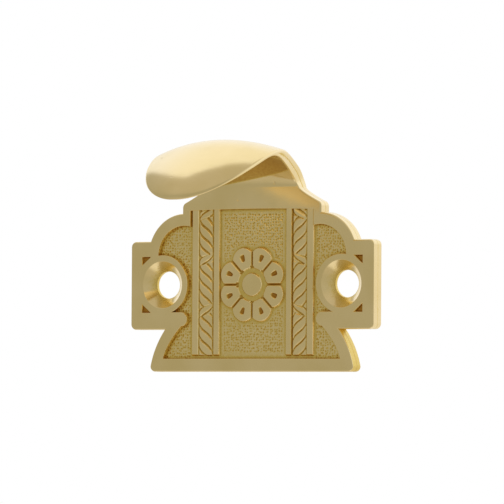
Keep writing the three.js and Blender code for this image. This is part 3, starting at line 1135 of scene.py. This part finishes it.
    def ring_normals(self, ring: Array) -> Array:
        """Normals of the hook's rings: across each ring, crossed with along the hook.

        Where a ring has shrunk to nothing at the tip, they are those of the ring before it.

        Args:
            ring: The rings, each with its first point repeated at its end.

        Returns:
            The normals, facing out of the metal.
        """
        closed = ring[:, :-1]
        around = np.roll(closed, -1, axis=1) - np.roll(closed, 1, axis=1)
        along = np.gradient(closed, axis=0)
        rise = closed[1, :, 0] - closed[0, :, 0]
        along[0] = np.stack([rise, np.zeros_like(rise), closed[1, :, 2] - closed[0, :, 2]], axis=1)
        along[0, :, 2] = np.abs(along[0, :, 2]).mean()
        normal = np.cross(along, around)
        weak = np.linalg.norm(normal, axis=-1) < SHRUNK
        normal = unit(normal)
        normal[-1][weak[-1]] = normal[-2][weak[-1]]
        underside = self.columns // 2
        if normal[2, underside, 1] > 0:
            normal = -normal
        return np.concatenate([normal, normal[:, :1]], axis=1)

    def hook_painted_shade(self, ring: Array) -> Array:
        """Painted shade on the hook: on the underside, up in the bend, standing in for the dark reflection
        of the tab above it.

        Args:
            ring: The hook's rings of points.

        Returns:
            The painted shade at each of them.
        """
        shelter = np.zeros(ring.shape[:2])
        underside = slice(1, self.columns - 1)
        x, y, z = np.moveaxis(ring[:, underside], -1, 0)
        bend = smooth_step(z - self.bend_shade_slant * x, *self.bend_shade_edge)
        shelter[:, underside] = self.painted_bend_shade * bend * smooth_step(-y, *self.bend_shade_reach)
        return shelter

    def build(self) -> bpy.types.Object:
        """Makes the piece.

        Returns:
            The plate and hook as one closed mesh.
        """
        shell = Shell()
        self.plate(shell)
        self.hook(shell)
        return shell.weld("plate_and_hook")


# ---------------------------------------------------------------- the panel


PANEL_SIDE = 20.6
PANEL_SPLIT = 7.5  # along the middle of the inner bars


class PanelPart(Enum):
    """The panel's three pieces, by the stretch of x that each one covers."""

    LEFT = (-PANEL_SIDE, -PANEL_SPLIT)
    MIDDLE = (-PANEL_SPLIT, PANEL_SPLIT)
    RIGHT = (PANEL_SPLIT, PANEL_SIDE)

    @property
    def piece_name(self) -> str:
        """The piece's name."""
        return f"relief_panel_{self.name.lower()}"


@dataclass(frozen=True)
class RosetteRelief:
    """The rosette at every point of the panel's grid.

    Attributes:
        height: How high it stands over the ground.
        pits: Depth of the petals' pits, from 0 to 1.
        ring: 1 on the ring round the eye, 0 elsewhere.
        apart: Distance out from the petals' edge.
    """

    height: Array
    pits: Array
    ring: Array
    apart: Array


@dataclass
class ReliefPanel:
    """The sunk panel: a stippled ground with bars, bands of leaves and a rosette in low relief."""

    body: LiftBody
    step: float = 0.1  # the grid's spacing
    floor: float = 2.0  # depth of the ground
    behind: float = 1.4  # depth of the panel's own back, inside the metal
    overlap: float = 0.3  # how far its rim reaches into the border's metal
    span_z: Span = (-13.9, 14.1)

    bars: tuple[Span, Span] = ((6.92, 8.2), (11.28, 12.74))  # inner and outer edges
    bar_height: float = 0.45
    bar_foot: float = -12.55

    shoulder: float = 0.26  # rounding of the bars and the eye
    petal_shoulder: float = 0.3
    band_shoulder: float = 0.45
    band_margin: tuple[float, float] = (0.16, 0.04)  # ground left between a band and its two bars

    leaf_pitch: float = 2.05
    leaf_height: float = 0.42
    leaf_slope: float = 34.0
    leaf_curl: float = 0.5  # how much further the strands turn up at the band's two edges
    strand_foot: float = 0.12  # height of the grooves between strands, as a share of theirs
    strand_gap: float = 0.07  # half the width of those grooves
    strand_round: float = 0.36  # rounding of a strand, as a share of the pitch
    ties: tuple[Span, ...] = ((12.5, 0.75), (4.4, 0.7), (-4.6, 0.75))  # middle and half height
    tie_pitch: float = 1.5
    tie_height: float = 0.85  # of the leaves' height
    tie_slant: float = 0.8  # of the leaves' slant, the other way
    tie_tilt: float = 0.35  # of the same slant, for the tie as a whole
    tie_pinch: float = 0.3  # how much lower the band is where a tie ends
    tie_pinched: Span = (0.02, 0.22)

    rosette: Point = (-0.12, -0.08)
    petals: int = 8
    petal_inner: float = 2.85
    petal_lobe: tuple[float, float] = (4.55, 2.36)  # distance out to the lobe's middle, and radius
    petal_gap: float = 0.2
    groove_reach: float = 1.0  # how far out of a petal's side still counts as in the rosette
    petal_height: float = 0.44
    petal_corner: float = 0.35  # rounding of a petal's inner corners
    petal_foot: float = 0.55  # half the straight width of its inner end
    pit_middle: float = 5.0
    pit_length: float = 0.6
    pit_depth: float = 0.85  # of the petal's height
    pit_width: tuple[float, float] = (0.26, 0.16)  # at the inner end, and more at the outer
    pit_widened: Span = (4.3, 5.5)
    eye_radius: float = 2.1
    eye_height: float = 0.48
    ring_height: float = 0.16
    ring_edge: float = 0.15

    stipple_pitch: float = 0.48
    stipple_depth: float = 0.15
    stipple_jitter: float = 0.6
    stipple_width: tuple[float, float] = (0.11, 0.05)  # the least, and the most that chance adds
    stipple_least: float = 0.6  # the shallowest pit, as a share of the deepest
    plain_by_bar: Span = (0.62, 0.95)  # where the stipple starts, away from the inner bar
    plain_by_outer_bar: Span = (0.2, 0.5)
    plain_by_rosette: Span = (0.35, 0.75)
    plain_by_relief: Span = (-0.1, -0.01)
    plain_foot: Span = (-12.3, -11.7)
    plain_head: Span = (12.75, 12.3)
    dice: int = 96  # cells after which the stipple repeats
    seed: int = 11

    # Shelter: the ground's cast skin, and painted shade for each kind of hollow.
    border_height: float = 0.45  # height that the border counts for beside it, so that the ground by the walls gets painted shade
    near: int = 3  # grid points that a narrow hollow is compared with
    far: int = 9  # and a wide one
    ground_shade: float = 0.24
    ground_low: Span = (-0.5, -0.1)
    wide_shade: float = 0.28
    narrow_shade: float = 2.3
    ring_guard: float = 0.8  # how much of that the ring round the eye is spared
    stipple_shade: float = 0.4
    pit_shade: float = 0.9
    ring_shade: float = 0.12

    def __post_init__(self) -> None:
        """Works out the whole panel's heights and shelter on one grid; the shelter paints shade into its
        hollows, stipple and pits.
        """
        self.x = np.arange(-PANEL_SIDE, PANEL_SIDE + self.step / 2, self.step)
        self.z = np.arange(self.span_z[0], self.span_z[1] + self.step / 2, self.step)
        x, z = np.meshgrid(self.x, self.z, indexing="ij")
        spots = np.stack([x.ravel(), z.ravel()], axis=1)
        outline = self.body.recess()
        is_open = within(spots, outline.moved(0.0)).reshape(x.shape)
        self.filled = within(spots, outline.moved(self.overlap)).reshape(x.shape)
        rosette = self.rosette_relief(x, z)
        relief = np.maximum.reduce([self.bar_relief(x, z), self.leaf_relief(x, z), rosette.height])
        ground = self.ground(x, z, relief, rosette.apart)
        self.height = relief + ground
        around = np.where(is_open, self.height, self.border_height)
        # painted shade: points lower than their surroundings, the stipple's dots and the petals' pits are
        # painted darker
        wide = self.blurred(around, self.far) - self.height
        narrow = self.blurred(around, self.near) - self.height
        low = smooth_step(-self.height, *self.ground_low)
        shelter = (self.ground_shade + self.wide_shade * wide) * low
        shelter += self.narrow_shade * narrow * (1.0 - self.ring_guard * rosette.ring)
        shelter += self.stipple_shade * -ground / self.stipple_depth
        shelter += self.pit_shade * rosette.pits + self.ring_shade * rosette.ring
        self.shelter = np.clip(shelter, 0.0, 1.0)

    @staticmethod
    def blurred(values: Array, reach: int) -> Array:
        """The values averaged twice over a square of 2 * reach + 1 grid points.

        Args:
            values: The values on the grid.
            reach: How far the square reaches to each side.

        Returns:
            The averages.
        """
        width = 2 * reach + 1
        for axis in (0, 1, 0, 1):
            padding = [(0, 0), (0, 0)]
            padding[axis] = (reach + 1, reach)
            total = np.cumsum(np.pad(values, padding, mode="edge"), axis=axis)
            upper = np.take(total, range(width, total.shape[axis]), axis=axis)
            lower = np.take(total, range(0, total.shape[axis] - width), axis=axis)
            values = (upper - lower) / width
        return values

    def bar_relief(self, x: Array, z: Array) -> Array:
        """Two upright bars on each side, flat on top with rounded shoulders.

        Args:
            x: Places to the right.
            z: Heights.

        Returns:
            How high they stand over the ground.
        """
        side = np.abs(x)
        in_bar = np.maximum(*[np.minimum(side - near, far - side) for near, far in self.bars])
        return self.bar_height * round_shoulder(np.minimum(in_bar, z - self.bar_foot), self.shoulder)

    def leaf_relief(self, x: Array, z: Array) -> Array:
        """Bands of slanted leaves between the bars, broken by ties.

        A leaf is one strand of a rope laid flat: the grooves between strands follow an S, which slants
        across the band and turns up along its two edges.  Inside a tie the slant is reversed.

        Args:
            x: Places to the right.
            z: Heights.

        Returns:
            How high the leaves stand over the ground.
        """
        inner, outer = self.bars[0][1] + self.band_margin[0], self.bars[1][0] - self.band_margin[1]
        across = (np.abs(x) - inner) / (outer - inner)
        inside = np.minimum(across, 1.0 - across) * (outer - inner)
        slope = math.tan(math.radians(self.leaf_slope))
        swing = np.clip(2.0 * across - 1.0, -1.0, 1.0)
        rise = slope * (across - 0.5) * (outer - inner) + self.leaf_curl * swing**3

        def strands(slanted: Array, pitch: float, top: float) -> Array:
            """Round-topped strands.

            Args:
                slanted: A slanted coordinate, square to them.
                pitch: Their spacing along it.
                top: Their height.

            Returns:
                How high they stand over the ground.
            """
            share = np.mod(slanted / pitch, 1.0)
            gap = np.minimum(share, 1.0 - share) * pitch - self.strand_gap
            rounded = round_shoulder(gap, self.strand_round * pitch)
            return top * (self.strand_foot + (1.0 - self.strand_foot) * rounded)

        leaves = strands(z - rise - self.bar_foot, self.leaf_pitch, self.leaf_height)
        crossed = strands(
            z + self.tie_slant * rise - self.bar_foot, self.tie_pitch, self.tie_height * self.leaf_height
        )
        for middle, half in self.ties:
            apart = np.abs(z + self.tie_tilt * rise - middle) - half
            pinched = 1.0 - self.tie_pinch * (1.0 - smooth_step(np.abs(apart), *self.tie_pinched))
            leaves = np.where(apart < 0, crossed, leaves) * pinched
        return leaves * round_shoulder(inside, self.band_shoulder) * (z > self.bar_foot)

    def rosette_relief(self, x: Array, z: Array) -> RosetteRelief:
        """Eight petals round an eye.

        A point's distance inside its petal is the least of its distances to the grooves between petals,
        to the lobe's circle at the outer end and to the ring round the eye.  Each petal has a pit shaped
        like a drop, and the ring between petals and eye stands a little proud of the ground.

        Args:
            x: Places to the right.
            z: Heights.

        Returns:
            Its heights and what the ground and the shelter need to know of it.
        """
        x, z = x - self.rosette[0], z - self.rosette[1]
        radius, angle = np.hypot(x, z), np.arctan2(z, x)
        sector = 2 * math.pi / self.petals
        off_axis = np.mod(angle, sector) - sector / 2
        along, side = radius * np.cos(off_axis), radius * np.sin(off_axis)
        middle, lobe = self.petal_lobe
        groove = radius * np.sin(sector / 2 - np.abs(off_axis)) - self.petal_gap / 2
        end = np.where(along > middle, lobe - np.hypot(along - middle, side), lobe)
        start = self.petal_inner + self.petal_corner
        corner = np.hypot(
            np.maximum(np.abs(side) - self.petal_foot, 0.0), np.maximum(start - radius, 0.0)
        )
        inner = np.where(radius < start, self.petal_corner - corner, radius - self.petal_inner)
        inside = np.minimum.reduce([groove, end, inner])
        petal = self.petal_height * round_shoulder(inside, self.petal_shoulder)
        least, added = self.pit_width
        spread = least + added * smooth_step(along, *self.pit_widened)
        pit_along, pit_side = (along - self.pit_middle) / self.pit_length, side / spread
        pit = np.exp(-((pit_along**2) ** 2) - (pit_side**2) ** 2)
        pits = pit * (petal > 0.0)
        petal = petal * (1.0 - self.pit_depth * pit) * (radius > self.eye_radius)
        eye = self.eye_height * round_shoulder(self.eye_radius - radius, self.shoulder)
        ring = smooth_step(-radius, -self.petal_inner - self.ring_edge, -self.petal_inner)
        ring = ring * (radius > self.eye_radius)
        apart = -np.minimum(groove + self.groove_reach, end) * (radius > middle)
        return RosetteRelief(np.maximum.reduce([petal, eye, self.ring_height * ring]), pits, ring, apart)

    def ground(self, x: Array, z: Array, relief: Array, apart: Array) -> Array:
        """The stippled ground: round pits, one in each cell of a jittered grid, and plain margins.

        Args:
            x: Places to the right.
            z: Heights.
            relief: The ornament's height, which the ground stops at.
            apart: Distance out from the rosette's edge.

        Returns:
            How far below the plain level it is, as negative heights.
        """
        dice = np.random.default_rng(self.seed).random((self.dice, self.dice, 3))
        column, row = np.floor(x / self.stipple_pitch), np.floor(z / self.stipple_pitch)
        least, added = self.stipple_width
        sunk = np.zeros_like(x)
        for i in (-1, 0, 1):
            for j in (-1, 0, 1):
                cell = (column + i).astype(int) % self.dice, (row + j).astype(int) % self.dice
                dx, dz, size = np.moveaxis(dice[cell], -1, 0)
                middle_x = (column + i + 0.5 + self.stipple_jitter * (dx - 0.5)) * self.stipple_pitch
                middle_z = (row + j + 0.5 + self.stipple_jitter * (dz - 0.5)) * self.stipple_pitch
                away = np.hypot(x - middle_x, z - middle_z) / (least + added * size)
                deep = self.stipple_least + (1.0 - self.stipple_least) * size
                sunk = np.maximum(sunk, deep * np.exp(-(away**2)))
        side = np.abs(x)
        in_middle = smooth_step(self.bars[0][0] - side, *self.plain_by_bar)
        in_middle = in_middle * smooth_step(z, *self.plain_foot) * smooth_step(z, *self.plain_head)
        in_lobe = smooth_step(side - self.bars[1][1], *self.plain_by_outer_bar)
        stippled = np.maximum(in_middle * smooth_step(apart, *self.plain_by_rosette), in_lobe)
        return -self.stipple_depth * sunk * stippled * smooth_step(-relief, *self.plain_by_relief)

    def build(self, part: PanelPart) -> bpy.types.Object:
        """Makes one piece: the relief in front, flat behind, and walls along its rim.

        Args:
            part: Which stretch of the panel.

        Returns:
            A closed mesh.
        """
        low, high = part.value
        columns = (self.x > low - self.step / 2) & (self.x < high + self.step / 2)
        x, z = np.meshgrid(self.x[columns], self.z, indexing="ij")
        height, shelter, filled = self.height[columns], self.shelter[columns], self.filled[columns]
        kept = filled[:-1, :-1] & filled[1:, :-1] & filled[:-1, 1:] & filled[1:, 1:]
        slope_x, slope_z = np.gradient(self.height, self.step)
        normals = unit(np.stack([-slope_x, -np.ones_like(slope_x), -slope_z], axis=-1))[columns]
        flat = np.stack([x, z], axis=-1)
        front, back = in_frame(flat, self.floor + height), in_frame(flat, self.behind)
        shell = Shell()
        shell.grid(front, normals, shelter, kept)
        shell.grid(back, np.broadcast_to((0.0, 1.0, 0.0), front.shape), 1.0, kept)
        front, back = front.reshape(-1, 3), back.reshape(-1, 3)
        padded = np.pad(kept, 1)
        number = np.arange(x.size).reshape(x.shape)
        left, right = padded[:-1, 1:-1], padded[1:, 1:-1]
        below, above = padded[1:-1, :-1], padded[1:-1, 1:]
        sides = (
            (left, right, number[:, :-1], number[:, 1:], (1.0, 0.0, 0.0)),
            (below, above, number[:-1], number[1:], (0.0, 0.0, 1.0)),
        )
        for before, after, start, end, direction in sides:
            edge = before != after
            a, b = start[edge], end[edge]
            corners = np.stack([front[a], front[b], back[b], back[a]], axis=1)
            cell = np.arange(len(a))[:, None] * 4
            triangles = np.concatenate([cell + [0, 1, 2], cell + [0, 2, 3]])
            sign = np.where(before[edge], 1.0, -1.0)[:, None, None]
            normal = np.broadcast_to(sign * np.array(direction), corners.shape).reshape(-1, 3)
            shell.patch(corners.reshape(-1, 3), normal, triangles, 1.0)
        return shell.weld(part.piece_name)


# ---------------------------------------------------------------- the studio


@dataclass(frozen=True)
class Studio:
    """A pale floor, a white backdrop and a room that is bright behind and above, dim in front."""

    azimuth: float = 32.5
    elevation: float = -1.342
    roll: float = 0.38
    distance: float = 1.1583
    lens: float = 468.2
    sensor: float = 36.0
    shift: Point = (-0.01464, 0.06428)
    floor_level: float = -0.060
    floor_radius: float = 1.1
    floor_fade: float = 0.75  # distance at which the floor has become as white as the backdrop
    floor_glow: float = 0.45  # how far it is so already under the object
    backdrop_radius: float = 2.2
    white: str = "#FFFFFF"
    floor_colour: str = "#F4F3F0"
    wall: str = "#EEE8DA"  # the room's bright walls, at the part's own height
    ceiling: str = "#FFFCF0"
    room: str = "#AFAA95"  # the dim side of the room, in front
    room_top: str = "#C2BAA6"  # and above and below

    # Where the room is bright: a weight and the span over which it brightens.  Each span is of a
    # direction's y plus the weight times its x, or times its height for the part overhead.
    overhead: tuple[float, float, float] = (1.05, 0.92, 0.97)
    overhead_low: float = 0.48  # lower directions count as this high
    leftward: tuple[float, float, float] = (-0.35, 0.16, 0.2)
    rightward: tuple[float, float, float] = (0.6, -0.05, 0.75)

    # Heights over which its colours change.
    whitened: Span = (-0.1, 0.4)
    ceilinged: Span = (0.5, 0.85)
    steep: Span = (0.3, 0.9)
    underfoot: Span = (-0.86, -0.97)

    def camera(self) -> None:
        """Makes the camera, aimed at the part's origin and shifted to frame it."""
        data = bpy.data.cameras.new("camera")
        data.lens, data.sensor_width = self.lens, self.sensor
        data.shift_x, data.shift_y = self.shift
        data.clip_start, data.clip_end = 0.05, 50.0
        made = bpy.data.objects.new("camera", data)
        bpy.context.scene.collection.objects.link(made)
        around, up = math.radians(self.azimuth), math.radians(self.elevation)
        back = Vector((math.sin(around) * math.cos(up), -math.cos(around) * math.cos(up), math.sin(up)))
        right = Vector((math.cos(around), math.sin(around), 0.0))
        turned = Matrix((right, back.cross(right), back)).transposed()
        turned = turned @ Matrix.Rotation(math.radians(self.roll), 3, "Z")
        made.matrix_world = Matrix.Translation(back * self.distance) @ turned.to_4x4()
        bpy.context.scene.camera = made

    def glow(self, name: str, colour: str, strength: float) -> bpy.types.Material:
        """A plain light-giving material.

        Args:
            name: Its name.
            colour: Its colour.
            strength: Its brightness.

        Returns:
            The material.
        """
        material, tree = blank(name)
        light = add_node(tree, "Emission", {"Color": linear(colour), "Strength": strength})
        add_node(tree, "OutputMaterial", {"Surface": light.outputs[0]})
        return material

    def backdrop(self) -> None:
        """Makes a white ball round everything, which shows behind the object and lights nothing."""
        bpy.ops.mesh.primitive_uv_sphere_add(segments=48, ring_count=24, radius=self.backdrop_radius)
        made = bpy.context.object
        made.name = "backdrop"
        made.data.materials.append(self.glow("backdrop_white", self.white, 1.0))
        for kind in ("diffuse", "glossy", "transmission", "volume_scatter", "shadow"):
            setattr(made, "visible_" + kind, False)

    def floor(self) -> None:
        """Makes the round floor, which runs out into the white and can't be seen from below."""
        bpy.ops.mesh.primitive_circle_add(
            vertices=96, radius=self.floor_radius, fill_type="NGON", location=(0.0, 0.0, self.floor_level)
        )
        made = bpy.context.object
        made.name = "floor"
        made.data.materials.append(self.floor_surface())
        made.visible_glossy = False

    def floor_surface(self) -> bpy.types.Material:
        """Makes the floor's material: matt in the middle, glowing white further out, clear from below.

        Returns:
            The material, on object coordinates.
        """
        material, tree = blank("pale_floor")
        place = add_node(tree, "TexCoord").outputs["Object"]
        away = add_node(tree, "VectorMath", {0: place}, operation="LENGTH").outputs["Value"]
        plain = add_node(tree, "BsdfDiffuse", {"Color": linear(self.floor_colour)})
        glow = add_node(tree, "Emission", {"Color": linear(self.white), "Strength": 1.0})
        share = ramp(tree, away, 0.0, self.floor_fade, self.floor_glow, 1.0)
        mixed = add_node(tree, "MixShader", {0: share, 1: plain.outputs[0], 2: glow.outputs[0]})
        under = add_node(tree, "NewGeometry").outputs["Backfacing"]
        seen = add_node(tree, "LightPath").outputs["Is Camera Ray"]
        hidden = reckon(tree, "MULTIPLY", under, seen)
        clear = add_node(tree, "BsdfTransparent").outputs[0]
        surface = add_node(tree, "MixShader", {0: hidden, 1: mixed.outputs[0], 2: clear}).outputs[0]
        add_node(tree, "OutputMaterial", {"Surface": surface})
        return material

    def room_light(self) -> None:
        """Lights the room from its walls: white behind and above the mounting face, dim in front of it."""
        world = bpy.data.worlds.new("room")
        bpy.context.scene.world = world
        world.use_nodes = True
        tree = world.node_tree
        tree.nodes.clear()
        place = add_node(tree, "TexCoord").outputs["Generated"]
        parts = add_node(tree, "SeparateXYZ", {0: place})
        x, y, z = (parts.outputs[axis] for axis in "XYZ")

        def beyond(value: Socket, weight: float, dim_end: float, bright_end: float) -> Socket:
            """A ramp along y plus the weight times the value."""
            return ramp(tree, reckon(tree, "MULTIPLY_ADD", value, weight, y), dim_end, bright_end)

        raised = reckon(tree, "MAXIMUM", z, self.overhead_low)
        behind = reckon(tree, "MULTIPLY", beyond(raised, *self.overhead), beyond(x, *self.leftward))
        share = reckon(tree, "MAXIMUM", behind, beyond(x, *self.rightward))
        bright = mix(tree, ramp(tree, z, *self.whitened), linear(self.wall), linear(self.white))
        bright = mix(tree, ramp(tree, z, *self.ceilinged), bright, linear(self.ceiling))
        steep = ramp(tree, reckon(tree, "ABSOLUTE", z), *self.steep)
        dim = mix(tree, steep, linear(self.room), linear(self.room_top))
        dim = mix(tree, ramp(tree, z, *self.underfoot), dim, linear(self.wall))
        colour = mix(tree, share, dim, bright)
        light = add_node(tree, "Background", {"Color": colour, "Strength": 1.0})
        add_node(tree, "OutputWorld", {"Surface": light.outputs[0]})

    def build(self) -> None:
        """Makes the whole studio."""
        bpy.context.scene.view_settings.view_transform = "Standard"
        self.camera()
        self.backdrop()
        self.floor()
        self.room_light()


# ---------------------------------------------------------------- the lift


@dataclass
class SashLift:
    """The whole lift: one casting, shown as a polished body and three pieces of its sunk panel."""

    body: LiftBody = field(default_factory=LiftBody)
    finish: CastBrass = field(default_factory=CastBrass)

    def build(self) -> None:
        """Builds each piece, dresses it in brass and ties it to the frame."""
        brass = self.finish.make()
        panel = ReliefPanel(self.body)
        pieces = [self.body.build(), *(panel.build(part) for part in PanelPart)]
        for piece in pieces:
            piece.data.materials.append(brass)
            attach(piece, BODY)
            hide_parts(CASTING)
            LOG.info("%s: %d triangles", piece.name, len(piece.data.polygons))


def main() -> None:
    """Builds the studio and the lift round the frame."""
    logging.basicConfig(level=logging.INFO, format="%(name)s %(message)s")
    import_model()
    Studio().build()
    SashLift().build()


if __name__ == "__main__":
    main()
